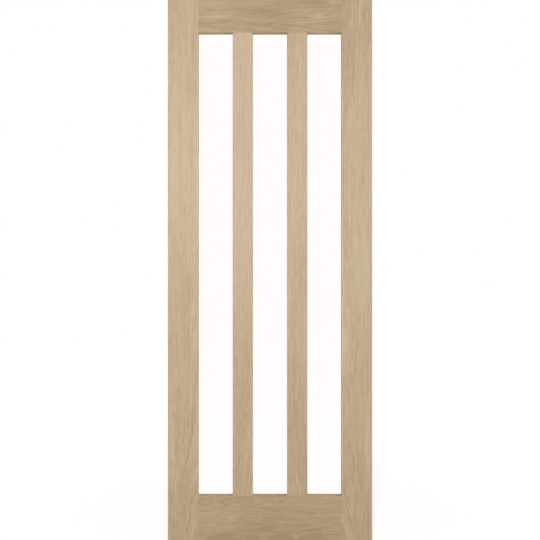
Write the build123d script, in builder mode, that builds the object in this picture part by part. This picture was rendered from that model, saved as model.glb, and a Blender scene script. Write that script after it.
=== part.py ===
"""Glazed interior door leaf: a rebated oak frame, tall panes of clear glass and mitred oak beads.

Millimetres. X runs across the leaf from its left edge, Y through the thickness from the front
face to the back face, and Z up from the foot. The origin is on the left edge, at the foot,
halfway through the thickness. The left edge is the one that takes the hinges.
"""

import os

from build123d import *

# Leaf
leaf_width = 770.0
leaf_height = 2040.0
leaf_thickness = 35.0

# Solid oak lipping glued to each long edge
lipping_width = 8.0
lipping_round = 1.5

# Frame members, as wide as they show on the front face
stile_width = 115.0
mullion_width = 76.0
top_rail_height = 126.0
bottom_rail_height = 170.0

# Glazing rebate: the stop is the wood that stays in front of the glass
stop_thickness = 13.0
stop_height = 12.0
arris = 1.0

# Glass and what beds it
pane_names = ("left", "middle", "right")
glass_thickness = 6.0
glass_edge_gap = 3.0
glass_edge_grind = 0.5
tape_thickness = 1.5
tape_setback = 1.0
setting_block_length = 25.0
bead_setback = 1.0

# Stub tenons, their front cheek in line with the rebate
tenon_thickness = 12.0
rail_tenon_length = 40.0
rail_tenon_inset = 20.0
mullion_tenon_length = 25.0
mullion_tenon_inset = 10.0
tenon_clearance = 0.25

# Planes through the thickness, from the front face to the back face
front_y = -leaf_thickness / 2
back_y = leaf_thickness / 2
seat_y = front_y + stop_thickness
glass_front_y = seat_y + tape_thickness
glass_back_y = glass_front_y + glass_thickness
bead_front_y = glass_back_y + tape_thickness
bead_back_y = back_y - bead_setback

# Sight openings, inside the stops
pane_count = len(pane_names)
mullion_count = pane_count - 1
sight_width = (leaf_width - 2 * stile_width - mullion_count * mullion_width) / pane_count
sight_bottom = bottom_rail_height
sight_top = leaf_height - top_rail_height
sight_height = sight_top - sight_bottom
sight_middle_z = (sight_bottom + sight_top) / 2
pane_pitch = sight_width + mullion_width
pane_centres = [stile_width + sight_width / 2 + i * pane_pitch for i in range(pane_count)]
mullion_centres = [centre_x + pane_pitch / 2 for centre_x in pane_centres[:-1]]

# Bottom of the rebates, where the back shoulders of the joints seat
rebate_x = stile_width - stop_height
rebate_bottom = sight_bottom - stop_height
rebate_top = sight_top + stop_height

# Glass is smaller than the rebate all round, and the tape ends at the edge of the glass
glass_cover = stop_height - glass_edge_gap
glass_width = sight_width + 2 * glass_cover
glass_height = sight_height + 2 * glass_cover
tape_inner_width = sight_width + 2 * tape_setback
tape_inner_height = sight_height + 2 * tape_setback

# Tenons, and mortises a little larger than they are
tenon_middle_y = seat_y + tenon_thickness / 2
mortise_thickness = tenon_thickness + 2 * tenon_clearance
mullion_tenon_width = mullion_width - 2 * stop_height - 2 * mullion_tenon_inset

os.makedirs("parts", exist_ok=True)


def front_plane(y):
    """A plane across the leaf at depth y, seen from the front, with X to the right and Z up."""
    return Plane.XZ.offset(-y)


def write(part, node):
    """Labels a finished piece and writes it to its own file."""
    part.label = node
    export_step(part, f"parts/{node}.step")


# Cutters for the eased corner round each pane, on the front face and on the back of the beads

with BuildPart() as front_rims:
    for centre_x in pane_centres:
        with BuildSketch(front_plane(front_y + arris)):
            with Locations((centre_x, sight_middle_z)):
                Rectangle(sight_width, sight_height)
        extrude(amount=arris, taper=-45)

with BuildPart() as back_rims:
    mirror(front_rims.part, about=front_plane((front_y + bead_back_y) / 2))


# Stiles, full height, with a rebate along the inner edge and a mortise for each rail


def rail_tenon_span(outer_z, rebate_z):
    """Middle height and height of a rail's tenon, between the rail's outer edge and its rebate."""
    return (outer_z + rebate_z) / 2, abs(outer_z - rebate_z) - 2 * rail_tenon_inset


with BuildPart() as left_stile:
    with BuildSketch(Plane.XY):
        with BuildLine():
            Polyline(
                (lipping_width, front_y),
                (stile_width, front_y),
                (stile_width, seat_y),
                (rebate_x, seat_y),
                (rebate_x, back_y),
                (lipping_width, back_y),
                close=True,
            )
        make_face()
    extrude(amount=leaf_height)
    for outer_z, rebate_z in ((0, rebate_bottom), (leaf_height, rebate_top)):
        tenon_z, tenon_height = rail_tenon_span(outer_z, rebate_z)
        with BuildSketch(Plane.YZ.offset(rebate_x)):
            with Locations((tenon_middle_y, tenon_z)):
                Rectangle(mortise_thickness, tenon_height + 2 * tenon_clearance)
        extrude(amount=-(rail_tenon_length + tenon_clearance), mode=Mode.SUBTRACT)
    add(front_rims.part, mode=Mode.SUBTRACT)
write(left_stile.part, "left_stile")

with BuildPart() as right_stile:
    mirror(left_stile.part, about=Plane.YZ.offset(leaf_width / 2))
write(right_stile.part, "right_stile")


# Rails, between the stiles, with a short shoulder in front and a long one behind at each end


def build_rail(node, outer_z, pane_z, rebate_z):
    """A rail from the leaf's outer edge to the panes, with its tenons and the mullions' mortises."""
    long_shoulder = leaf_width - 2 * rebate_x
    inward = 1 if rebate_z > outer_z else -1
    tenon_z, tenon_height = rail_tenon_span(outer_z, rebate_z)
    with BuildPart() as rail:
        with BuildSketch(Plane.YZ.offset(rebate_x)):
            with BuildLine():
                Polyline(
                    (front_y, outer_z),
                    (front_y, pane_z),
                    (seat_y, pane_z),
                    (seat_y, rebate_z),
                    (back_y, rebate_z),
                    (back_y, outer_z),
                    close=True,
                )
            make_face()
        extrude(amount=long_shoulder)
        with BuildSketch(front_plane(front_y)):
            with Locations((leaf_width / 2, (outer_z + pane_z) / 2)):
                Rectangle(long_shoulder, abs(pane_z - outer_z))
                Rectangle(leaf_width - 2 * stile_width, abs(pane_z - outer_z), mode=Mode.SUBTRACT)
        extrude(amount=-stop_thickness, mode=Mode.SUBTRACT)
        with BuildSketch(Plane.YZ.offset(rebate_x - rail_tenon_length)):
            with Locations((tenon_middle_y, tenon_z)):
                Rectangle(tenon_thickness, tenon_height)
        extrude(amount=long_shoulder + 2 * rail_tenon_length)
        with BuildSketch(Plane.XY.offset(rebate_z)):
            with Locations(*[(x, tenon_middle_y) for x in mullion_centres]):
                Rectangle(mullion_tenon_width + 2 * tenon_clearance, mortise_thickness)
        extrude(amount=-inward * (mullion_tenon_length + tenon_clearance), mode=Mode.SUBTRACT)
        add(front_rims.part, mode=Mode.SUBTRACT)
    write(rail.part, node)


build_rail("top_rail", leaf_height, sight_top, rebate_top)
build_rail("bottom_rail", 0, sight_bottom, rebate_bottom)


# Mullions, between the rails, rebated on both sides, with the same short and long shoulders

for node, centre_x in zip(("left_mullion", "right_mullion"), mullion_centres):
    half_face = mullion_width / 2
    half_back = half_face - stop_height
    long_shoulder = rebate_top - rebate_bottom
    with BuildPart() as mullion:
        with BuildSketch(Plane.XY.offset(rebate_bottom)):
            with BuildLine():
                Polyline(
                    (centre_x - half_face, front_y),
                    (centre_x + half_face, front_y),
                    (centre_x + half_face, seat_y),
                    (centre_x + half_back, seat_y),
                    (centre_x + half_back, back_y),
                    (centre_x - half_back, back_y),
                    (centre_x - half_back, seat_y),
                    (centre_x - half_face, seat_y),
                    close=True,
                )
            make_face()
        extrude(amount=long_shoulder)
        with BuildSketch(front_plane(front_y)):
            with Locations((centre_x, sight_middle_z)):
                Rectangle(mullion_width, long_shoulder)
                Rectangle(mullion_width, sight_height, mode=Mode.SUBTRACT)
        extrude(amount=-stop_thickness, mode=Mode.SUBTRACT)
        with BuildSketch(Plane.XY.offset(rebate_bottom - mullion_tenon_length)):
            with Locations((centre_x, tenon_middle_y)):
                Rectangle(mullion_tenon_width, tenon_thickness)
        extrude(amount=long_shoulder + 2 * mullion_tenon_length)
        add(front_rims.part, mode=Mode.SUBTRACT)
    write(mullion.part, node)


# Lippings, with the two outer corners rounded

with BuildPart() as left_lipping:
    with BuildSketch(Plane.XY):
        with Locations((lipping_width / 2, 0)):
            lipping_section = Rectangle(lipping_width, leaf_thickness)
        fillet(lipping_section.vertices().group_by(Axis.X)[0], radius=lipping_round)
    extrude(amount=leaf_height)
write(left_lipping.part, "left_edge_lipping")

with BuildPart() as right_lipping:
    mirror(left_lipping.part, about=Plane.YZ.offset(leaf_width / 2))
write(right_lipping.part, "right_edge_lipping")


# Glass, its tapes, its setting blocks and its beads, pane by pane


def build_tape(node, centre_x, y):
    """The flat ring of glazing tape on one side of a pane, from depth y towards the back."""
    with BuildPart() as tape:
        with BuildSketch(front_plane(y)):
            with Locations((centre_x, sight_middle_z)):
                Rectangle(glass_width, glass_height)
                Rectangle(tape_inner_width, tape_inner_height, mode=Mode.SUBTRACT)
        extrude(amount=-tape_thickness)
    write(tape.part, node)


def rectangle_corners(centre_x, width, height):
    """Corners in X and Z, anticlockwise from the lower left, seen from the front."""
    low_x, high_x = centre_x - width / 2, centre_x + width / 2
    low_z, high_z = sight_middle_z - height / 2, sight_middle_z + height / 2
    return [(low_x, low_z), (high_x, low_z), (high_x, high_z), (low_x, high_z)]


def build_beads(pane, centre_x):
    """The four mitred beads that close a pane's rebate, just below the back face."""
    inner = rectangle_corners(centre_x, sight_width, sight_height)
    outer = rectangle_corners(centre_x, sight_width + 2 * stop_height, sight_height + 2 * stop_height)
    for i, side in enumerate(("sill", "right", "head", "left")):
        following = (i + 1) % len(inner)
        with BuildPart() as bead:
            with BuildSketch(front_plane(bead_front_y)):
                with BuildLine():
                    Polyline(outer[i], outer[following], inner[following], inner[i], close=True)
                make_face()
            extrude(amount=bead_front_y - bead_back_y)
            add(back_rims.part, mode=Mode.SUBTRACT)
        write(bead.part, f"{pane}_pane_{side}_bead")


for pane, centre_x in zip(pane_names, pane_centres):
    with BuildPart() as glass:
        with BuildSketch(front_plane(glass_front_y)):
            with Locations((centre_x, sight_middle_z)):
                Rectangle(glass_width, glass_height)
        extrude(amount=-glass_thickness)
        ground_faces = glass.faces().filter_by(Axis.Y)
        chamfer(ground_faces.edges(), length=glass_edge_grind)
    write(glass.part, f"{pane}_pane_glass")

    build_tape(f"{pane}_pane_front_tape", centre_x, seat_y)
    build_tape(f"{pane}_pane_back_tape", centre_x, glass_back_y)

    with BuildPart() as setting_blocks:
        with BuildSketch(Plane.XY.offset(rebate_bottom)):
            with Locations((centre_x, (glass_front_y + glass_back_y) / 2)):
                with GridLocations(glass_width / 2, 0, 2, 1):
                    Rectangle(setting_block_length, glass_thickness)
        extrude(amount=glass_edge_gap)
    write(setting_blocks.part, f"{pane}_pane_setting_blocks")

    build_beads(pane, centre_x)
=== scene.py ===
"""Looks of the glazed interior door leaf: satin oak that follows each member's grain, clear glass,
glazing tape and the filled pins in the beads, with the studio light and the camera."""

import math
from collections import namedtuple

import bmesh
import bpy
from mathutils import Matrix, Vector


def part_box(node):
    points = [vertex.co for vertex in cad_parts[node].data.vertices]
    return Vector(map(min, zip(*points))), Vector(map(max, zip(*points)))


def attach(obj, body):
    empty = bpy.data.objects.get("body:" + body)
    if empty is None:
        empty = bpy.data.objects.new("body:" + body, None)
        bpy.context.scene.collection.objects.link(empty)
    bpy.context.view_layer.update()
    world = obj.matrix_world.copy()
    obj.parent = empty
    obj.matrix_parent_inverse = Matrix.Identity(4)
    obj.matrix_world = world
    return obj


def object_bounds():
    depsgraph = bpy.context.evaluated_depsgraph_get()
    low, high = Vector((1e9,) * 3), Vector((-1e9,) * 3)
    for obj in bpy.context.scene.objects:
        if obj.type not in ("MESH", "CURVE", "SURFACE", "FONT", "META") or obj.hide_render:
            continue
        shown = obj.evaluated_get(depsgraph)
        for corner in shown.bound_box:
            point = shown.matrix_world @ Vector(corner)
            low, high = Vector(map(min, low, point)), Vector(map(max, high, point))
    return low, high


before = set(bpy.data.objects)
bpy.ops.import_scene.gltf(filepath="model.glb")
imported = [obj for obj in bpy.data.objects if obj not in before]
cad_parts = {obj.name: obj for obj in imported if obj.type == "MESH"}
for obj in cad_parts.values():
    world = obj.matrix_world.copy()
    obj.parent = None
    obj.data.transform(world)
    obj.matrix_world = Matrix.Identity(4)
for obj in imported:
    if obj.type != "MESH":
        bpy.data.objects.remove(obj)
cad_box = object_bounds()

PANES = ("left", "middle", "right")

X_AXIS = 0
Z_AXIS = 2

# Places on the leaf, in metres, read from the frame
leaf_low, leaf_high = (Vector(corner) for corner in cad_box)
leaf_middle = (leaf_low + leaf_high) / 2
leaf_height = leaf_high.z - leaf_low.z
front_y = leaf_low.y


# Shader graphs

# A Mix node's colour sockets, by number, because the node gives sockets of every type one name
MIX_FACTOR = 0
MIX_FIRST = 6
MIX_SECOND = 7
MIX_RESULT = 2


class Graph:
    """Adds nodes to one shader tree. An input is a number, a colour or another node's output."""

    def __init__(self, tree):
        self.tree = tree

    def feed(self, socket, value):
        """Links another node's output to a socket, or sets the socket to a number or colour."""
        if isinstance(value, bpy.types.NodeSocket):
            self.tree.links.new(value, socket)
        else:
            socket.default_value = value

    def add(self, kind, inputs=None, **settings):
        """A new node with its settings, and with its inputs by name or number."""
        node = self.tree.nodes.new(kind)
        for name, value in settings.items():
            setattr(node, name, value)
        for key, value in (inputs or {}).items():
            self.feed(node.inputs[key], value)
        return node

    def math(self, operation, *values):
        """The result of one sum on numbers."""
        node = self.add("ShaderNodeMath", dict(enumerate(values)), operation=operation)
        return node.outputs["Value"]

    def stretched(self, vector, scale, offset=(0.0, 0.0, 0.0)):
        """The vector times a scale along each axis, plus an offset."""
        inputs = {0: vector, 1: scale, 2: offset}
        return self.add("ShaderNodeVectorMath", inputs, operation="MULTIPLY_ADD").outputs["Vector"]

    def noise(self, vector, detail=2.0, roughness=0.5):
        """A noise node with one cycle to each unit of the vector."""
        inputs = {"Vector": vector, "Scale": 1.0, "Detail": detail, "Roughness": roughness}
        return self.add("ShaderNodeTexNoise", inputs, noise_dimensions="3D")

    def noise_along(self, value, detail=2.0, roughness=0.5):
        """Noise that changes with one number only."""
        inputs = {"W": value, "Scale": 1.0, "Detail": detail, "Roughness": roughness}
        return self.add("ShaderNodeTexNoise", inputs, noise_dimensions="1D").outputs["Fac"]

    def spots(self, vector):
        """Distance to the nearest of many scattered points, one to each unit of the vector."""
        inputs = {"Vector": vector, "Scale": 1.0, "Randomness": 1.0}
        return self.add("ShaderNodeTexVoronoi", inputs, feature="F1").outputs["Distance"]

    def eased(self, value, low, high, to_low=0.0, to_high=1.0):
        """The value eased from one range to another, and held at its ends."""
        inputs = {"Value": value, "From Min": low, "From Max": high}
        inputs.update({"To Min": to_low, "To Max": to_high})
        node = self.add("ShaderNodeMapRange", inputs, interpolation_type="SMOOTHSTEP")
        return node.outputs["Result"]

    def ramp(self, value, stops, interpolation="LINEAR"):
        """A colour ramp through (position, colour) stops."""
        node = self.add("ShaderNodeValToRGB", {"Fac": value})
        node.color_ramp.interpolation = interpolation
        elements = node.color_ramp.elements
        while len(elements) < len(stops):
            elements.new(1.0)
        for element, (position, colour) in zip(elements, stops):
            element.position = position
            element.color = colour
        return node.outputs["Color"]

    def blend(self, factor, first, second, blend_type="MIX"):
        """Two colours mixed."""
        inputs = {MIX_FACTOR: factor, MIX_FIRST: first, MIX_SECOND: second}
        node = self.add("ShaderNodeMix", inputs, data_type="RGBA", blend_type=blend_type)
        return node.outputs[MIX_RESULT]


def grey(value):
    """An opaque grey."""
    return (value, value, value, 1.0)


def new_material(name):
    """A material whose tree is empty but for its output."""
    material = bpy.data.materials.new(name)
    material.use_nodes = True
    material.node_tree.nodes.clear()
    graph = Graph(material.node_tree)
    output = graph.add("ShaderNodeOutputMaterial")
    return material, graph, output


# Oak

# Where the heart of the tree lies: how far across the member, and its depth behind the face at
# places along the grain
Heart = namedtuple("Heart", "across path")

# How a member's grain runs. Across is measured from an edge, into the member. The bow is how far
# the rings wander from their true circles, and the contrast is how strong the figure is at the
# start of the grain and further along it. Lines and blotch say how much of the figure is fine
# lines and how much is broad soft patches. These four have defaults
Figure = namedtuple(
    "Figure",
    "along edge inward heart ring_width seed bow contrast lines blotch",
    defaults=(0.020, (1.0, 1.0), 1.0, 0.0),
)

OAK_DARK = (0.375, 0.255, 0.138)
OAK_MIDDLE = (0.495, 0.360, 0.218)
OAK_LIGHT = (0.595, 0.455, 0.300)
PORE_BROWN = (0.60, 0.50, 0.40, 1.0)
OAK_IOR = 1.5

# Noise, in cycles to the metre across, through and along the grain
BOW_SCALE = (5.0, 5.0, 1.0)
RIPPLE_SCALE = (30.0, 30.0, 3.6)
MOTTLE_SCALE = (150.0, 150.0, 21.0)
FIBRE_SCALE = (250.0, 250.0, 22.0)
PORE_SCALE = (2100.0, 2100.0, 115.0)
RAY_SCALE = (520.0, 70.0, 44.0)
CLOUD_SCALE = (9.0, 9.0, 1.8)

# Noise that follows the rings: cycles to the ring, and to the metre along the grain
BAND_SCALE = (0.26, 0.0, 1.6)
LINE_SCALE = (1.1, 0.0, 6.0)
BLOTCH_SCALE = (0.23, 0.0, 5.0)

# How far the rings ripple, in metres, and how they crowd and spread: cycles to the metre, and rings
RIPPLE_REACH = 0.0042
GROWTH_PER_METRE = 28.0
GROWTH_RINGS = 2.4

# How much each part of the figure lightens or darkens the wood
RING_CONTRAST = 0.20
BAND_CONTRAST = 0.45
LINE_CONTRAST = 0.62
BLOTCH_CONTRAST = 1.0
MOTTLE_CONTRAST = 0.30
FIBRE_CONTRAST = 1.15
CLOUD_CONTRAST = 0.60
RAY_CONTRAST = -0.16

# Ring profile from the porous spring wood to the dense summer wood
RING_STOPS = (
    (0.00, grey(0.00)),
    (0.12, grey(0.10)),
    (0.40, grey(0.78)),
    (0.74, grey(1.00)),
    (0.95, grey(0.90)),
    (1.00, grey(0.02)),
)
RING_MEAN = 0.66

# Lightness of plain oak, between 0 for the darkest figure and 1 for the lightest
PLAIN_LIGHTNESS = 0.5

# Rays and pores are spots round scattered points, and these are shares of the points' pitch.
# Pores are larger in the spring wood, and a pore is darkest inside its core
RAY_CORE = 0.14
RAY_RIM = 0.26
SUMMER_PORE_RIM = 0.07
SPRING_PORE_GROWTH = 0.32
PORE_CORE_SHARE = 0.5


def centred(graph, value, reach, mean=0.5):
    """A 0 to 1 value moved to lie about zero and scaled."""
    return graph.math("MULTIPLY", graph.math("SUBTRACT", value, mean), reach)


def make_oak_figure():
    """The node group that grows oak: rings round a heart, bent by noise, with bands, fibres and pores.

    Its vector is the place in the member: across, through and along the grain, in metres."""
    group = bpy.data.node_groups.new("oak_figure", "ShaderNodeTree")
    group.interface.new_socket("Place", in_out="INPUT", socket_type="NodeSocketVector")
    numbers = ("Heart across", "Heart depth", "Ring width", "Bow", "Contrast", "Lines", "Blotch", "Seed")
    for name in numbers:
        group.interface.new_socket(name, in_out="INPUT", socket_type="NodeSocketFloat")
    for name in ("Lightness", "Pores", "Summer wood", "Fibre"):
        group.interface.new_socket(name, in_out="OUTPUT", socket_type="NodeSocketFloat")

    graph = Graph(group)
    entry = graph.add("NodeGroupInput").outputs
    seed = entry["Seed"]
    seed_offset = graph.add("ShaderNodeCombineXYZ", {"X": seed, "Y": seed, "Z": seed}).outputs["Vector"]

    def scattered(scale):
        """The place stretched, and moved by the seed."""
        return graph.stretched(entry["Place"], scale, seed_offset)

    place = graph.add("ShaderNodeSeparateXYZ", {"Vector": entry["Place"]}).outputs
    bow_noise = graph.noise(scattered(BOW_SCALE), detail=3.0).outputs["Color"]
    bow = graph.add("ShaderNodeSeparateXYZ", {"Vector": bow_noise}).outputs
    ripple = graph.noise(scattered(RIPPLE_SCALE)).outputs["Fac"]

    across = graph.math("SUBTRACT", place["X"], entry["Heart across"])
    across = graph.math("ADD", across, centred(graph, bow["X"], entry["Bow"]))
    across = graph.math("ADD", across, centred(graph, ripple, RIPPLE_REACH))
    depth = graph.math("ADD", place["Y"], entry["Heart depth"])
    depth = graph.math("ADD", depth, centred(graph, bow["Y"], entry["Bow"]))
    radius_vector = graph.add("ShaderNodeCombineXYZ", {"X": across, "Y": depth}).outputs["Vector"]
    radius = graph.add("ShaderNodeVectorMath", {0: radius_vector}, operation="LENGTH").outputs["Value"]

    growth = graph.noise_along(graph.math("MULTIPLY_ADD", radius, GROWTH_PER_METRE, seed))
    rings = graph.math("DIVIDE", radius, entry["Ring width"])
    rings = graph.math("ADD", rings, centred(graph, growth, GROWTH_RINGS))
    summer = graph.ramp(graph.math("FRACT", rings), RING_STOPS)
    ring_place = graph.add("ShaderNodeCombineXYZ", {"X": rings, "Z": place["Z"]}).outputs["Vector"]
    band = graph.noise(graph.stretched(ring_place, BAND_SCALE, seed_offset), detail=3.0).outputs["Fac"]
    line = graph.noise(graph.stretched(ring_place, LINE_SCALE, seed_offset)).outputs["Fac"]
    blotch = graph.noise(graph.stretched(ring_place, BLOTCH_SCALE, seed_offset)).outputs["Fac"]

    mottle = graph.noise(scattered(MOTTLE_SCALE)).outputs["Fac"]
    fibre = graph.noise(scattered(FIBRE_SCALE), detail=3.0, roughness=0.6).outputs["Fac"]
    cloud = graph.noise(scattered(CLOUD_SCALE)).outputs["Fac"]
    rays = graph.eased(graph.spots(scattered(RAY_SCALE)), RAY_CORE, RAY_RIM, 1.0, 0.0)

    spring = graph.math("SUBTRACT", 1.0, summer)
    pore_rim = graph.math("MULTIPLY_ADD", spring, SPRING_PORE_GROWTH, SUMMER_PORE_RIM)
    pore_core = graph.math("MULTIPLY", pore_rim, PORE_CORE_SHARE)
    pores = graph.eased(graph.spots(scattered(PORE_SCALE)), pore_core, pore_rim, 1.0, 0.0)

    ring_lines = centred(graph, summer, RING_CONTRAST, RING_MEAN)
    lines = graph.math("ADD", ring_lines, centred(graph, line, LINE_CONTRAST))
    patches = graph.math("MULTIPLY", centred(graph, blotch, BLOTCH_CONTRAST), entry["Blotch"])
    shade = graph.math("MULTIPLY_ADD", lines, entry["Lines"], patches)
    for part, contrast in (
        (band, BAND_CONTRAST),
        (mottle, MOTTLE_CONTRAST),
        (fibre, FIBRE_CONTRAST),
        (cloud, CLOUD_CONTRAST),
    ):
        shade = graph.math("ADD", shade, centred(graph, part, contrast))
    shade = graph.math("MULTIPLY_ADD", rays, RAY_CONTRAST, shade)
    lightness = graph.math("MULTIPLY_ADD", shade, entry["Contrast"], PLAIN_LIGHTNESS)

    graph.add(
        "NodeGroupOutput",
        {"Lightness": lightness, "Pores": pores, "Summer wood": summer, "Fibre": fibre},
    )
    return group


OAK_FIGURE = make_oak_figure()

# Stretch of grain that a path of numbers covers, in metres
PATH_FROM = -0.6
PATH_TO = 2.6

# Stretch of grain over which the contrast changes
CONTRAST_FROM = 0.3
CONTRAST_TO = 1.3

# Most that a heart's depth, in metres, and a drift may be
HEART_DEEPEST = 0.3
SHADE_DRIFT_MOST = 0.5

# Heights of the surface in millimetres, the bump's reach of one millimetre, and its strength
PORE_DEPTH = -0.08
SUMMER_RISE = 0.010
FIBRE_RISE = 0.030
MILLIMETRE = 0.001
OAK_BUMP = 0.6

# Roughness of the oak, and what its summer wood, fibres and pores add to it
OAK_ROUGHNESS = 0.50
SUMMER_DULLING = -0.05
FIBRE_DULLING = 0.06
PORE_DULLING = 0.18

# How much rougher the sanded edges and ends are than the two faces. A surface is an edge below
# the first share of a full turn towards the front or back, and a face above the second
EDGE_DULLING = 0.30
EDGE_TURN = 0.3
FACE_TURN = 0.8

# A flame is full inside its core and gone at its rim, in shares of its half width and length
FLAME_CORE = 0.3
FLAME_RIM = 1.1

# Brown hills of figure along the foot of the bottom rail: their crests and hollows as places along
# the grain and heights, and the most that a height may be
HILL_CRESTS = (
    (0.138, 0.000), (0.152, 0.017), (0.205, 0.030), (0.236, 0.034), (0.249, 0.003),
    (0.286, 0.003), (0.297, 0.023), (0.331, 0.026), (0.344, 0.002),
    (0.382, 0.002), (0.393, 0.018), (0.430, 0.030), (0.463, 0.034), (0.475, 0.002),
    (0.490, 0.003), (0.502, 0.019), (0.546, 0.032), (0.573, 0.033), (0.590, 0.013), (0.612, 0.001),
)
HILL_TALLEST = 0.05

# The wander of the hills' outline with its cycles to the metre, the outline's soft edge, and the
# lightness of a hill with the share of the figure that still shows in it
HILL_WANDER = 0.008
HILL_WANDER_CYCLES = 60.0
HILL_EDGE = 0.0018
HILL_LIGHTNESS = 0.22
HILL_FIGURE = 0.2


def along_path(graph, along, path, low, high):
    """A number between low and high that eases through (place, number) stops along the grain."""
    span = PATH_TO - PATH_FROM
    place = graph.math("DIVIDE", graph.math("SUBTRACT", along, PATH_FROM), span)
    stops = [((spot - PATH_FROM) / span, grey((number - low) / (high - low))) for spot, number in path]
    return graph.math("MULTIPLY_ADD", graph.ramp(place, stops, "EASE"), high - low, low)


def brown_hills(graph, lightness, across, along):
    """The lightness with the even brown of the hills."""
    wander = graph.noise_along(graph.math("MULTIPLY", along, HILL_WANDER_CYCLES), detail=3.0)
    crest = along_path(graph, along, HILL_CRESTS, 0.0, HILL_TALLEST)
    crest = graph.math("ADD", crest, centred(graph, wander, HILL_WANDER))
    above = graph.math("SUBTRACT", across, crest)
    figure_left = graph.eased(above, -HILL_EDGE, HILL_EDGE, HILL_FIGURE, 1.0)
    past_brown = graph.math("SUBTRACT", lightness, HILL_LIGHTNESS)
    return graph.math("MULTIPLY_ADD", past_brown, figure_left, HILL_LIGHTNESS)


def add_flame(graph, lightness, across, along, flame):
    """The lightness with one flame of figure added: a long soft patch, lighter or darker.

    The flame gives its place across and along the grain, half width, half length, lean and shade."""
    flame_across, flame_along, half_width, half_length, lean, shade = flame
    past = graph.math("SUBTRACT", along, flame_along)
    aside = graph.math("MULTIPLY_ADD", past, lean, graph.math("SUBTRACT", across, flame_across))
    offset = graph.add("ShaderNodeCombineXYZ", {"X": aside, "Z": past}).outputs["Vector"]
    offset = graph.stretched(offset, (1 / half_width, 0.0, 1 / half_length))
    reach = graph.add("ShaderNodeVectorMath", {0: offset}, operation="LENGTH").outputs["Value"]
    return graph.math("ADD", lightness, graph.eased(reach, FLAME_CORE, FLAME_RIM, shade, 0.0))


def make_oak(name, figure, tone, drift=None, flames=(), hills=False):
    """Satin oak for one member. The tone multiplies its colour, and besides the wood's own tone it can
    carry painted shade.

    The drift gives places along the grain and how much lighter or darker the wood is drawn there, partly
    for its tone and partly as painted light and shade, and flames and hills are figure that is placed
    one by one."""
    material, graph, output = new_material(name)
    coordinates = graph.add("ShaderNodeTexCoord").outputs
    axis = graph.add("ShaderNodeSeparateXYZ", {"Vector": coordinates["Object"]}).outputs
    facing = graph.add("ShaderNodeSeparateXYZ", {"Vector": coordinates["Normal"]}).outputs
    edge = graph.eased(graph.math("ABSOLUTE", facing["Y"]), EDGE_TURN, FACE_TURN, 1.0, 0.0)
    across_axis, along = (axis["X"], axis["Z"]) if figure.along == "Z" else (axis["Z"], axis["X"])
    across = graph.math("MULTIPLY", graph.math("SUBTRACT", across_axis, figure.edge), figure.inward)
    through = graph.math("SUBTRACT", axis["Y"], front_y)
    grain_place = graph.add("ShaderNodeCombineXYZ", {"X": across, "Y": through, "Z": along})
    inputs = {
        "Place": grain_place.outputs["Vector"],
        "Heart across": figure.heart.across,
        "Heart depth": along_path(graph, along, figure.heart.path, 0.0, HEART_DEEPEST),
        "Ring width": figure.ring_width,
        "Bow": figure.bow,
        "Contrast": graph.eased(along, CONTRAST_FROM, CONTRAST_TO, *figure.contrast),
        "Lines": figure.lines,
        "Blotch": figure.blotch,
        "Seed": figure.seed,
    }
    grown_node = graph.add("ShaderNodeGroup", node_tree=OAK_FIGURE)
    for key, value in inputs.items():
        graph.feed(grown_node.inputs[key], value)
    grown = grown_node.outputs

    lightness = grown["Lightness"]
    # Painted light and shade together with the wood's tone: the drift lightens or darkens the member
    # along its grain
    if drift:
        shade_drifted = along_path(graph, along, drift, -SHADE_DRIFT_MOST, SHADE_DRIFT_MOST)
        lightness = graph.math("ADD", lightness, shade_drifted)
    for flame in flames:
        lightness = add_flame(graph, lightness, across, along, flame)
    if hills:
        lightness = brown_hills(graph, lightness, across, along)
    # The tone multiplies the colour; for the frame it carries painted shade as well as the wood's own
    # tone
    shades = (OAK_DARK, OAK_MIDDLE, OAK_LIGHT)
    toned = [tuple(part * times for part, times in zip(shade, tone)) + (1.0,) for shade in shades]
    colour = graph.ramp(lightness, tuple(zip((0.0, PLAIN_LIGHTNESS, 1.0), toned)))
    colour = graph.blend(grown["Pores"], colour, graph.blend(1.0, colour, PORE_BROWN, "MULTIPLY"))

    roughness = graph.math("MULTIPLY_ADD", grown["Summer wood"], SUMMER_DULLING, OAK_ROUGHNESS)
    roughness = graph.math("MULTIPLY_ADD", grown["Fibre"], FIBRE_DULLING, roughness)
    roughness = graph.math("MULTIPLY_ADD", grown["Pores"], PORE_DULLING, roughness)
    roughness = graph.math("MULTIPLY_ADD", edge, EDGE_DULLING, roughness)

    height = graph.math("MULTIPLY", grown["Pores"], PORE_DEPTH)
    height = graph.math("MULTIPLY_ADD", grown["Summer wood"], SUMMER_RISE, height)
    height = graph.math("MULTIPLY_ADD", grown["Fibre"], FIBRE_RISE, height)
    bump = graph.add("ShaderNodeBump", {"Strength": OAK_BUMP, "Distance": MILLIMETRE, "Height": height})

    shader = graph.add("ShaderNodeBsdfPrincipled")
    graph.feed(shader.inputs["Base Color"], colour)
    graph.feed(shader.inputs["Roughness"], roughness)
    graph.feed(shader.inputs["Normal"], bump.outputs["Normal"])
    shader.inputs["IOR"].default_value = OAK_IOR
    graph.feed(output.inputs["Surface"], shader.outputs["BSDF"])
    return material


LEFT = -1
RIGHT = 1


def upright(node, edge_side, heart, ring_width, seed, **more):
    """Vertical grain, measured from the node's left or right edge into the member."""
    low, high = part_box(node)
    edge = low[X_AXIS] if edge_side == LEFT else high[X_AXIS]
    return Figure("Z", edge, -edge_side, heart, ring_width, seed, **more)


def crosswise(node, heart, ring_width, seed, **more):
    """Level grain, measured up from the node's lower edge."""
    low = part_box(node)[0]
    return Figure("X", low[Z_AXIS], 1.0, heart, ring_width, seed, **more)


def dress(node, material):
    """Gives a node of the frame its material."""
    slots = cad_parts[node].data.materials
    slots.clear()
    slots.append(material)


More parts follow.
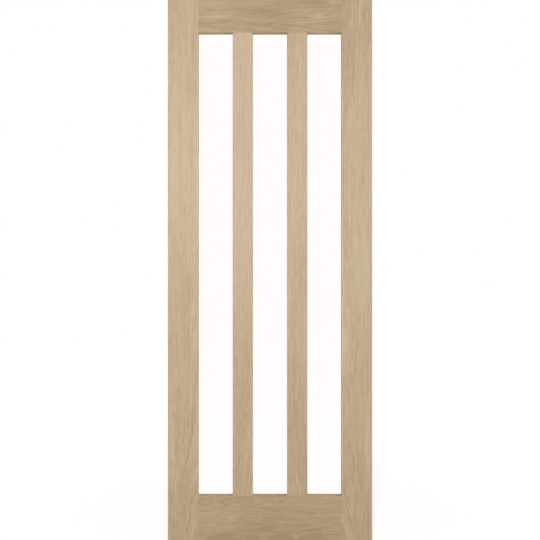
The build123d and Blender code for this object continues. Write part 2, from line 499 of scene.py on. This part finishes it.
STRAIGHT_PATH = ((-0.4, 0.05), (2.4, 0.05))
STILE_HEART = Heart(-0.04, ((-0.5, 0.02), (0.50, 0.130), (1.5, 0.13), (2.4, 0.115)))
MULLION_HEART = Heart(-0.030, ((-0.3, 0.03), (0.55, 0.09), (2.4, 0.09)))
TOP_RAIL_HEART = Heart(0.030, ((-0.1, 0.060), (0.28, 0.056), (0.80, 0.044)))
BOTTOM_RAIL_HEART = Heart(0.147, ((-0.1, 0.045), (0.70, 0.002)))
LIPPING_HEART = Heart(-0.13, STRAIGHT_PATH)
BEAD_HEART = Heart(-0.06, STRAIGHT_PATH)

# Widths of the tree's rings, in metres
UPRIGHT_RINGS = 0.0021
TOP_RAIL_RINGS = 0.0036
BOTTOM_RAIL_RINGS = 0.0038
LIPPING_RINGS = 0.0026
BEAD_RINGS = 0.0023

# The grain of each member. An upright's is measured from its edge nearer the middle of the leaf
FRAME_FIGURES = {
    "left_stile": upright(
        "left_stile", RIGHT, STILE_HEART, UPRIGHT_RINGS, seed=3.1, contrast=(1.2, 1.05)
    ),
    "right_stile": upright(
        "right_stile", LEFT, STILE_HEART, UPRIGHT_RINGS, seed=8.4, contrast=(1.05, 1.1)
    ),
    "left_mullion": upright(
        "left_mullion", RIGHT, MULLION_HEART, UPRIGHT_RINGS, seed=13.7, contrast=(1.15, 0.9)
    ),
    "right_mullion": upright(
        "right_mullion", LEFT, MULLION_HEART, UPRIGHT_RINGS, seed=21.3, contrast=(0.95, 1.1)
    ),
    "top_rail": crosswise(
        "top_rail",
        TOP_RAIL_HEART,
        TOP_RAIL_RINGS,
        seed=34.9,
        bow=0.040,
        contrast=(1.1, 1.1),
        lines=0.9,
        blotch=1.0,
    ),
    "bottom_rail": crosswise(
        "bottom_rail",
        BOTTOM_RAIL_HEART,
        BOTTOM_RAIL_RINGS,
        seed=47.2,
        bow=0.045,
        contrast=(1.1, 1.1),
        lines=1.3,
        blotch=0.3,
    ),
    "left_edge_lipping": upright("left_edge_lipping", RIGHT, LIPPING_HEART, LIPPING_RINGS, seed=55.6),
    "right_edge_lipping": upright("right_edge_lipping", LEFT, LIPPING_HEART, LIPPING_RINGS, seed=61.9),
}

# What each member's colour is multiplied by: partly the member's own tone, and partly painted shade,
# which makes the rails darker than the uprights and the right stile and mullion a little darker than the
# left ones
FRAME_TONES_AND_SHADE = {
    "left_stile": (0.949, 0.951, 0.948),
    "right_stile": (0.905, 0.905, 0.89),
    "left_mullion": (0.924, 0.921, 0.908),
    "right_mullion": (0.89, 0.883, 0.85),
    "top_rail": (0.754, 0.738, 0.648),
    "bottom_rail": (0.825, 0.82, 0.77),
    "left_edge_lipping": (0.937, 0.938, 0.935),
    "right_edge_lipping": (0.955, 0.96, 0.955),
}

# How much lighter or darker a member is at places along its grain: partly the wood's own tone, and
# partly painted light and shade where the light falls brighter or dimmer along the member
FRAME_SHADE_DRIFTS = {
    "left_stile": ((0.08, -0.04), (0.30, 0.05), (0.80, -0.01), (1.23, 0.08), (1.80, 0.02)),
    "right_stile": (
        (0.10, -0.04), (0.44, 0.20), (0.90, 0.07), (1.23, 0.06), (1.60, -0.02), (2.0, -0.25),
    ),
    "left_mullion": ((0.45, 0.0), (0.66, -0.08), (0.90, 0.0), (1.50, 0.03), (1.85, 0.18)),
    "right_mullion": ((0.25, 0.04), (0.45, 0.01), (0.67, -0.05), (0.73, 0.09), (0.90, 0.03)),
    "top_rail": ((0.20, 0.08), (0.38, -0.22), (0.58, -0.07)),
    "bottom_rail": ((0.20, 0.13), (0.38, -0.11), (0.58, -0.03)),
}

# Flames of figure: place across and along the grain, half width, half length, lean and shade. Those
# at the foot of the stiles slant, and both stiles have them alike
STILE_FLAMES = (
    (0.020, 0.866, 0.010, 0.030, 0.10, 0.28),
    (0.013, 0.822, 0.003, 0.045, 0.36, -0.18),
    (0.010, 0.756, 0.011, 0.055, 0.06, 0.30),
    (0.018, 0.453, 0.003, 0.055, 0.20, -0.20),
    (0.044, 0.310, 0.004, 0.080, 0.22, -0.22),
    (0.010, 0.120, 0.003, 0.055, 0.30, -0.38),
    (0.018, 0.105, 0.003, 0.060, 0.30, 0.32),
    (0.027, 0.085, 0.003, 0.065, 0.30, -0.38),
    (0.020, 0.040, 0.003, 0.050, 0.30, 0.32),
    (0.012, 0.030, 0.003, 0.045, 0.30, -0.36),
    (0.042, 0.055, 0.003, 0.060, 0.28, -0.30),
    (0.035, 0.095, 0.003, 0.060, 0.28, 0.26),
    (0.007, 0.165, 0.003, 0.045, 0.30, 0.28),
    (0.014, 0.175, 0.003, 0.050, 0.30, -0.30),
    (0.100, 0.380, 0.016, 0.330, -0.045, 0.22),
)
FRAME_FLAMES = {
    "left_stile": STILE_FLAMES
    + (
        (0.036, 0.956, 0.014, 0.075, 0.00, -0.20),
        (0.016, 0.500, 0.010, 0.210, 0.07, -0.25),
        (0.036, 0.720, 0.009, 0.150, 0.00, -0.22),
        (0.014, 1.920, 0.012, 0.160, 0.03, -0.20),
        (0.092, 1.650, 0.018, 0.420, 0.00, 0.09),
        (0.022, 1.620, 0.013, 0.380, 0.00, -0.07),
    ),
    "right_stile": STILE_FLAMES
    + (
        (0.036, 1.606, 0.006, 0.090, -0.05, 0.18),
        (0.073, 1.215, 0.006, 0.080, 0.00, 0.14),
        (0.009, 1.200, 0.004, 0.030, 0.15, -0.25),
        (0.030, 0.500, 0.007, 0.210, 0.08, -0.25),
        (0.020, 1.150, 0.010, 0.130, 0.00, -0.22),
        (0.018, 0.840, 0.008, 0.060, 0.10, -0.22),
        (0.072, 1.530, 0.007, 0.120, 0.00, 0.20),
        (0.090, 2.040, 0.030, 0.035, 0.00, 0.28),
        (0.020, 1.020, 0.024, 0.300, 0.00, -0.08),
        (0.086, 1.020, 0.022, 0.300, 0.00, 0.07),
        (0.046, 1.800, 0.004, 0.110, -0.03, -0.22),
        (0.073, 1.985, 0.012, 0.070, 0.00, 0.28),
        (0.039, 1.985, 0.005, 0.075, 0.00, 0.20),
        (0.087, 1.800, 0.004, 0.100, 0.00, -0.15),
    ),
    "left_mullion": (
        (0.032, 0.317, 0.006, 0.050, -0.25, 0.20),
        (0.022, 0.250, 0.010, 0.085, 0.14, -0.28),
        (0.045, 1.680, 0.007, 0.110, 0.00, 0.14),
    ),
    "right_mullion": (
        (0.036, 0.236, 0.007, 0.055, 0.25, 0.22),
        (0.070, 0.290, 0.005, 0.100, 0.04, -0.25),
        (0.043, 1.460, 0.006, 0.090, 0.09, 0.16),
        (0.047, 1.110, 0.006, 0.080, 0.05, 0.16),
    ),
    "top_rail": (
        (0.060, 0.195, 0.007, 0.120, -0.015, 0.40),
        (0.074, 0.365, 0.014, 0.075, -0.050, -0.28),
        (0.063, 0.562, 0.013, 0.040, 0.000, 0.28),
        (0.027, 0.458, 0.007, 0.065, 0.030, -0.38),
        (0.091, 0.252, 0.007, 0.080, -0.045, -0.38),
        (0.070, 0.430, 0.009, 0.070, -0.100, -0.38),
        (0.096, 0.580, 0.005, 0.085, -0.050, -0.36),
        (0.066, 0.592, 0.006, 0.026, 0.000, -0.32),
        (0.048, 0.328, 0.008, 0.090, 0.000, 0.38),
        (0.115, 0.640, 0.010, 0.055, 0.000, 0.40),
        (0.014, 0.358, 0.007, 0.040, 0.000, 0.28),
        (0.006, 0.550, 0.005, 0.045, 0.000, -0.28),
        (0.091, 0.479, 0.0026, 0.190, -0.066, -0.30),
        (0.031, 0.330, 0.005, 0.035, 0.000, -0.28),
    ),
    "bottom_rail": (
        (0.018, 0.350, 0.018, 0.110, 0.00, 0.24),
        (0.018, 0.490, 0.016, 0.070, 0.00, 0.12),
        (0.014, 0.180, 0.040, 0.110, 0.00, 0.10),
        (0.058, 0.420, 0.0025, 0.170, 0.00, -0.24),
        (0.040, 0.327, 0.0023, 0.055, -0.10, -0.26),
        (0.041, 0.550, 0.0023, 0.060, -0.05, -0.22),
    ),
}

for node, figure in FRAME_FIGURES.items():
    drift = FRAME_SHADE_DRIFTS.get(node)
    flames = FRAME_FLAMES.get(node, ())
    has_hills = node == "bottom_rail"
    dress(node, make_oak(f"oak_{node}", figure, FRAME_TONES_AND_SHADE[node], drift, flames, has_hills))

UPRIGHT_BEADS = ("left", "right")
LEVEL_BEADS = ("head", "sill")
BEAD_SIDES = UPRIGHT_BEADS + LEVEL_BEADS
BEAD_TONE = (0.90, 0.90, 0.88)

# Each bead grows from a seed of its own: the first bead's, and the steps to the next pane and side
BEAD_SEED = 70.0
PANE_SEED_STEP = 11.3
SIDE_SEED_STEP = 2.7
for index, pane in enumerate(PANES):
    for side_index, side in enumerate(BEAD_SIDES):
        node = f"{pane}_pane_{side}_bead"
        seed = BEAD_SEED + PANE_SEED_STEP * index + SIDE_SEED_STEP * side_index
        if side in UPRIGHT_BEADS:
            figure = upright(node, LEFT, BEAD_HEART, BEAD_RINGS, seed)
        else:
            figure = crosswise(node, BEAD_HEART, BEAD_RINGS, seed)
        dress(node, make_oak(f"oak_{node}", figure, BEAD_TONE))


# Glass, tape and setting blocks

GLASS_TINT = (1.0, 0.968, 0.968, 1.0)
GLASS_IOR = 1.52

# Smears on the glass: cycles to the metre, the noise where they start and are full, and roughness
SMEAR_SCALE = (6.0, 6.0, 3.0)
SMEAR_START = 0.4
SMEAR_FULL = 0.7
SMEAR_ROUGHNESS = 0.012

# Foam: cycles of its tone to the metre, the speckle at its dark and light ends, the roughness in
# and between its cells, and the bump of a cell
FOAM_TONE_SCALE = (40.0, 40.0, 40.0)
FOAM_DARK_END = 0.2
FOAM_LIGHT_END = 0.7
FOAM_ROUGHNESS = (0.75, 0.9)
FOAM_BUMP = 0.5
FOAM_BUMP_REACH = 0.2 * MILLIMETRE

TAPE_LIGHT = (0.44, 0.32, 0.20, 1.0)
TAPE_DARK = (0.34, 0.24, 0.14, 1.0)
TAPE_CELLS_PER_METRE = 2500.0
BLOCK_LIGHT = grey(0.06)
BLOCK_DARK = grey(0.03)
BLOCK_CELLS_PER_METRE = 1800.0


def even_mix(graph, first, second):
    """The mean of two numbers."""
    return graph.math("MULTIPLY_ADD", first, 0.5, graph.math("MULTIPLY", second, 0.5))


def make_glass():
    """Clear float glass with faint smears that only change its gloss."""
    material, graph, output = new_material("clear_glass")
    place = graph.add("ShaderNodeTexCoord").outputs["Object"]
    smear = graph.noise(graph.stretched(place, SMEAR_SCALE), detail=3.0).outputs["Fac"]
    roughness = graph.eased(smear, SMEAR_START, SMEAR_FULL, 0.0, SMEAR_ROUGHNESS)
    shader = graph.add("ShaderNodeBsdfPrincipled")
    shader.inputs["Base Color"].default_value = GLASS_TINT
    shader.inputs["IOR"].default_value = GLASS_IOR
    shader.inputs["Transmission Weight"].default_value = 1.0
    graph.feed(shader.inputs["Roughness"], roughness)
    graph.feed(output.inputs["Surface"], shader.outputs["BSDF"])
    return material


def make_foam(name, light, dark, cells_per_metre):
    """Matte closed-cell foam or rubber, speckled at the size of its cells."""
    material, graph, output = new_material(name)
    place = graph.add("ShaderNodeTexCoord").outputs["Object"]
    cells = graph.spots(graph.stretched(place, (cells_per_metre,) * 3))
    tone = graph.noise(graph.stretched(place, FOAM_TONE_SCALE), detail=3.0).outputs["Fac"]
    speckle = even_mix(graph, tone, cells)
    bump_inputs = {"Strength": FOAM_BUMP, "Distance": FOAM_BUMP_REACH, "Height": cells}
    bump = graph.add("ShaderNodeBump", bump_inputs)
    shader = graph.add("ShaderNodeBsdfPrincipled")
    stops = ((FOAM_DARK_END, dark), (FOAM_LIGHT_END, light))
    graph.feed(shader.inputs["Base Color"], graph.ramp(speckle, stops))
    graph.feed(shader.inputs["Roughness"], graph.eased(cells, 0.0, 1.0, *FOAM_ROUGHNESS))
    graph.feed(shader.inputs["Normal"], bump.outputs["Normal"])
    graph.feed(output.inputs["Surface"], shader.outputs["BSDF"])
    return material


glass = make_glass()
tape = make_foam("glazing_tape", TAPE_LIGHT, TAPE_DARK, TAPE_CELLS_PER_METRE)
block = make_foam("setting_block", BLOCK_LIGHT, BLOCK_DARK, BLOCK_CELLS_PER_METRE)
for pane in PANES:
    dress(f"{pane}_pane_glass", glass)
    dress(f"{pane}_pane_front_tape", tape)
    dress(f"{pane}_pane_back_tape", tape)
    dress(f"{pane}_pane_setting_blocks", block)

# Light passes straight through the clear glass to the floor, the beads and the reveals
glass_panes = [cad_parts[f"{pane}_pane_glass"] for pane in PANES]
for glass_pane in glass_panes:
    glass_pane.visible_shadow = False
    glass_pane.visible_diffuse = False
    glass_pane.visible_glossy = False


# Edges: every oak piece has its sharp corners sanded off

SANDED_EDGE = 0.0003
SANDED_STEPS = 2
NOT_OAK = ("glass", "tape", "blocks")
for node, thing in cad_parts.items():
    if any(word in node for word in NOT_OAK):
        continue
    bevel = thing.modifiers.new("sanded_edges", "BEVEL")
    bevel.width = SANDED_EDGE
    bevel.segments = SANDED_STEPS
    bevel.limit_method = "ANGLE"
    bevel.harden_normals = True


# Pins: each bead is held by pins driven below its back face, and the holes are filled

# Rings of a filled hole from its rim inwards: radius, and height above the bead
PIN_RINGS = ((0.00115, 0.00001), (0.00105, 0.00007), (0.00070, 0.00010), (0.00030, 0.00008))
PIN_SIDES = 14

# Pins stand about a pitch apart, the first and last of them this far from the bead's ends
PIN_PITCH = 0.19
PIN_END = 0.030

# Filler: cycles of its grit and of its batches to the metre, its colours, the noise at which they
# and its roughness start and end, and the bump of its grit
GRIT_SCALE = (2600.0, 2600.0, 2600.0)
BATCH_SCALE = (23.0, 23.0, 23.0)
FILLER_DARK = (0.25, 0.165, 0.085, 1.0)
FILLER_LIGHT = (0.37, 0.26, 0.15, 1.0)
FILLER_ENDS = (0.3, 0.7)
FILLER_ROUGHNESS = (0.60, 0.78)
FILLER_BUMP = 0.4
FILLER_BUMP_REACH = 0.1 * MILLIMETRE


def make_filler():
    """Wood filler, a little browner than the oak round it and duller."""
    material, graph, output = new_material("wood_filler")
    place = graph.add("ShaderNodeTexCoord").outputs["Object"]
    grit = graph.noise(graph.stretched(place, GRIT_SCALE), detail=3.0).outputs["Fac"]
    batch = graph.noise(graph.stretched(place, BATCH_SCALE)).outputs["Fac"]
    shade = even_mix(graph, batch, grit)
    bump_inputs = {"Strength": FILLER_BUMP, "Distance": FILLER_BUMP_REACH, "Height": grit}
    bump = graph.add("ShaderNodeBump", bump_inputs)
    shader = graph.add("ShaderNodeBsdfPrincipled")
    stops = tuple(zip(FILLER_ENDS, (FILLER_DARK, FILLER_LIGHT)))
    graph.feed(shader.inputs["Base Color"], graph.ramp(shade, stops))
    graph.feed(shader.inputs["Roughness"], graph.eased(grit, *FILLER_ENDS, *FILLER_ROUGHNESS))
    graph.feed(shader.inputs["Normal"], bump.outputs["Normal"])
    graph.feed(output.inputs["Surface"], shader.outputs["BSDF"])
    return material


def add_pin(form, centre):
    """A filled pin hole: a low crown of filler that dips in the middle, on a face towards +Y."""
    rings = []
    turns = [2 * math.pi * step / PIN_SIDES for step in range(PIN_SIDES)]
    for radius, rise in PIN_RINGS:
        spots = [Vector((radius * math.cos(turn), rise, radius * math.sin(turn))) for turn in turns]
        rings.append([form.verts.new(centre + spot) for spot in spots])
    for outer, inner in zip(rings, rings[1:]):
        for step in range(PIN_SIDES):
            after = (step + 1) % PIN_SIDES
            form.faces.new((outer[after], outer[step], inner[step], inner[after]))
    form.faces.new(list(reversed(rings[-1])))


filler = make_filler()
for pane in PANES:
    for side in BEAD_SIDES:
        node = f"{pane}_pane_{side}_bead"
        low, high = (Vector(corner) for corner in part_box(node))
        along = Z_AXIS if side in UPRIGHT_BEADS else X_AXIS
        middle = (low + high) / 2
        span = high[along] - low[along] - 2 * PIN_END
        gaps = max(1, round(span / PIN_PITCH))
        pin_form = bmesh.new()
        for step in range(gaps + 1):
            centre = Vector((middle.x, high.y, middle.z))
            centre[along] = low[along] + PIN_END + span * step / gaps
            add_pin(pin_form, centre)
        pin_mesh = bpy.data.meshes.new(f"{node}_pins")
        pin_form.to_mesh(pin_mesh)
        pin_form.free()
        pin_mesh.polygons.foreach_set("use_smooth", [True] * len(pin_mesh.polygons))
        pin_mesh.materials.append(filler)
        pins = bpy.data.objects.new(f"{node}_pins", pin_mesh)
        bpy.context.scene.collection.objects.link(pins)
        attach(pins, "root")


# Stage: floor, world, lights and camera

WHITE = (1.0, 1.0, 1.0, 1.0)


def seen_rays(graph):
    """1 for the rays that show the stage itself: those of the camera and of gloss."""
    path = graph.add("ShaderNodeLightPath").outputs
    return graph.math("MAXIMUM", path["Is Camera Ray"], path["Is Glossy Ray"])


def glass_rays(graph):
    """1 for the rays that have passed through the glass."""
    return graph.add("ShaderNodeLightPath").outputs["Is Transmission Ray"]


FLOOR_REACH = 9.0

# The floor as it is seen. Its glow makes up what the lamps leave of white. Near the leaf, where
# the key is stronger, it is lower, so that the leaf's shadow shows
FLOOR_PAINT = 0.60
FLOOR_GLOW = 0.645
FLOOR_GLOW_NEAR = 0.546
GLOW_NEAR_REACH = 3.0

# The floor as the leaf is lit by it
BOUNCE_PAINT = 0.70
BOUNCE_GLOW = 0.40

floor_mesh = bpy.data.meshes.new("floor")
floor_form = bmesh.new()
bmesh.ops.create_grid(floor_form, x_segments=1, y_segments=1, size=FLOOR_REACH)
floor_form.to_mesh(floor_mesh)
floor_form.free()
floor = bpy.data.objects.new("floor", floor_mesh)
floor.location = (leaf_middle.x, leaf_middle.y, leaf_low.z)
bpy.context.scene.collection.objects.link(floor)

floor_material, graph, output = new_material("pale_floor")
place = graph.add("ShaderNodeTexCoord").outputs["Object"]
reach = graph.add("ShaderNodeVectorMath", {0: place}, operation="LENGTH").outputs["Value"]
glow_strength = graph.eased(reach, 0.0, GLOW_NEAR_REACH, FLOOR_GLOW_NEAR, FLOOR_GLOW)
paint = graph.add("ShaderNodeBsdfDiffuse", {"Color": grey(BOUNCE_PAINT)})
bounce = graph.add("ShaderNodeEmission", {"Color": WHITE, "Strength": BOUNCE_GLOW})
hidden = graph.add("ShaderNodeAddShader", {0: paint.outputs["BSDF"], 1: bounce.outputs["Emission"]})
shown_paint = graph.add("ShaderNodeBsdfDiffuse", {"Color": grey(FLOOR_PAINT)})
glow = graph.add("ShaderNodeEmission", {"Color": WHITE, "Strength": glow_strength})
shown = graph.add("ShaderNodeAddShader", {0: shown_paint.outputs["BSDF"], 1: glow.outputs["Emission"]})
white = graph.add("ShaderNodeEmission", {"Color": WHITE, "Strength": 1.0})
opaque = graph.add(
    "ShaderNodeMixShader",
    {0: seen_rays(graph), 1: hidden.outputs["Shader"], 2: shown.outputs["Shader"]},
)
chosen = graph.add(
    "ShaderNodeMixShader",
    {0: glass_rays(graph), 1: opaque.outputs["Shader"], 2: white.outputs["Emission"]},
)
graph.feed(output.inputs["Surface"], chosen.outputs["Shader"])
floor_mesh.materials.append(floor_material)

# The fill is stronger from overhead
FILL_SIDE = 0.12
FILL_TOP = 0.85
FILL_COLOUR = (1.0, 0.99, 0.97, 1.0)
world = bpy.data.worlds.new("studio")
bpy.context.scene.world = world
world.use_nodes = True
world.node_tree.nodes.clear()
graph = Graph(world.node_tree)
direction = graph.add("ShaderNodeTexCoord").outputs["Generated"]
rise = graph.add("ShaderNodeSeparateXYZ", {"Vector": direction}).outputs["Z"]
strength = graph.eased(rise, 0.0, 1.0, FILL_SIDE, FILL_TOP)
fill = graph.add("ShaderNodeBackground", {"Color": FILL_COLOUR, "Strength": strength})
backdrop = graph.add("ShaderNodeBackground", {"Color": WHITE, "Strength": 1.0})
shows_white = graph.math("MAXIMUM", seen_rays(graph), glass_rays(graph))
chosen = graph.add(
    "ShaderNodeMixShader",
    {0: shows_white, 1: fill.outputs["Background"], 2: backdrop.outputs["Background"]},
)
graph.add("ShaderNodeOutputWorld", {"Surface": chosen.outputs["Shader"]})


def add_softbox(name, place, target, size, power, colour, spread):
    """A soft light that faces a target and isn't seen itself.

    The size is its width and height, and the spread its beam's full angle in degrees."""
    light = bpy.data.lights.new(name, "AREA")
    light.shape = "RECTANGLE"
    light.size, light.size_y = size
    light.energy = power
    light.color = colour
    light.spread = math.radians(spread)
    thing = bpy.data.objects.new(name, light)
    thing.location = place
    thing.rotation_euler = (Vector(target) - Vector(place)).to_track_quat("-Z", "Y").to_euler()
    thing.visible_camera = False
    thing.visible_transmission = False
    bpy.context.scene.collection.objects.link(thing)
    return thing


def flag_off(lights, name, things):
    """Keeps lights off some things."""
    flagged = bpy.data.collections.new(name)
    for thing in things:
        flagged.objects.link(thing)
    for entry in flagged.collection_objects:
        entry.light_linking.link_state = "EXCLUDE"
    for light in lights:
        light.light_linking.receiver_collection = flagged


# The key lights the front. The back lamp lights the back and the right edge, the top lamp the top
# edge, and the side lamp the left edge
KEY_COLOUR = (0.96, 0.968, 1.0)
LAMP_COLOUR = (1.0, 0.995, 0.985)
key = add_softbox(
    "key",
    place=(0.165, -4.02, 1.83),
    target=(0.385, 0.0, 1.58),
    size=(0.13, 0.8),
    power=34.3,
    colour=KEY_COLOUR,
    spread=116.0,
)
back = add_softbox(
    "back",
    place=(4.2, 3.3, 1.1),
    target=(0.385, 0.0, 1.0),
    size=(1.0, 1.4),
    power=42.0,
    colour=LAMP_COLOUR,
    spread=70.0,
)
top = add_softbox(
    "top",
    place=(0.385, 0.30, 3.4),
    target=(0.385, 0.0, 2.04),
    size=(1.0, 0.5),
    power=4.4,
    colour=LAMP_COLOUR,
    spread=90.0,
)
side = add_softbox(
    "side",
    place=(-3.6, 0.35, 1.2),
    target=(0.0, 0.0, 1.0),
    size=(0.8, 1.4),
    power=8.0,
    colour=LAMP_COLOUR,
    spread=60.0,
)
for lamp in (back, top, side):
    lamp.visible_glossy = False

# The floor is left to the key's one soft shadow, and the key isn't mirrored in the glass
flag_off((back, top, side), "flagged_floor", [floor])
flag_off((key,), "flagged_glass", glass_panes)

# The camera's sensor in millimetres and its distance from the leaf in metres. The photograph is
# cropped just inside the leaf's top and foot
SENSOR = 36.0
CAMERA_DISTANCE = 3.5
OVERFILL = 1.003
camera_data = bpy.data.cameras.new("camera")
camera_data.sensor_width = SENSOR
camera_data.lens = SENSOR * CAMERA_DISTANCE / leaf_height * OVERFILL
camera = bpy.data.objects.new("camera", camera_data)
camera.location = (leaf_middle.x, front_y - CAMERA_DISTANCE, leaf_middle.z)
camera.rotation_euler = Vector((0.0, 1.0, 0.0)).to_track_quat("-Z", "Z").to_euler()
bpy.context.scene.collection.objects.link(camera)
bpy.context.scene.camera = camera

bpy.context.scene.view_settings.view_transform = "Standard"
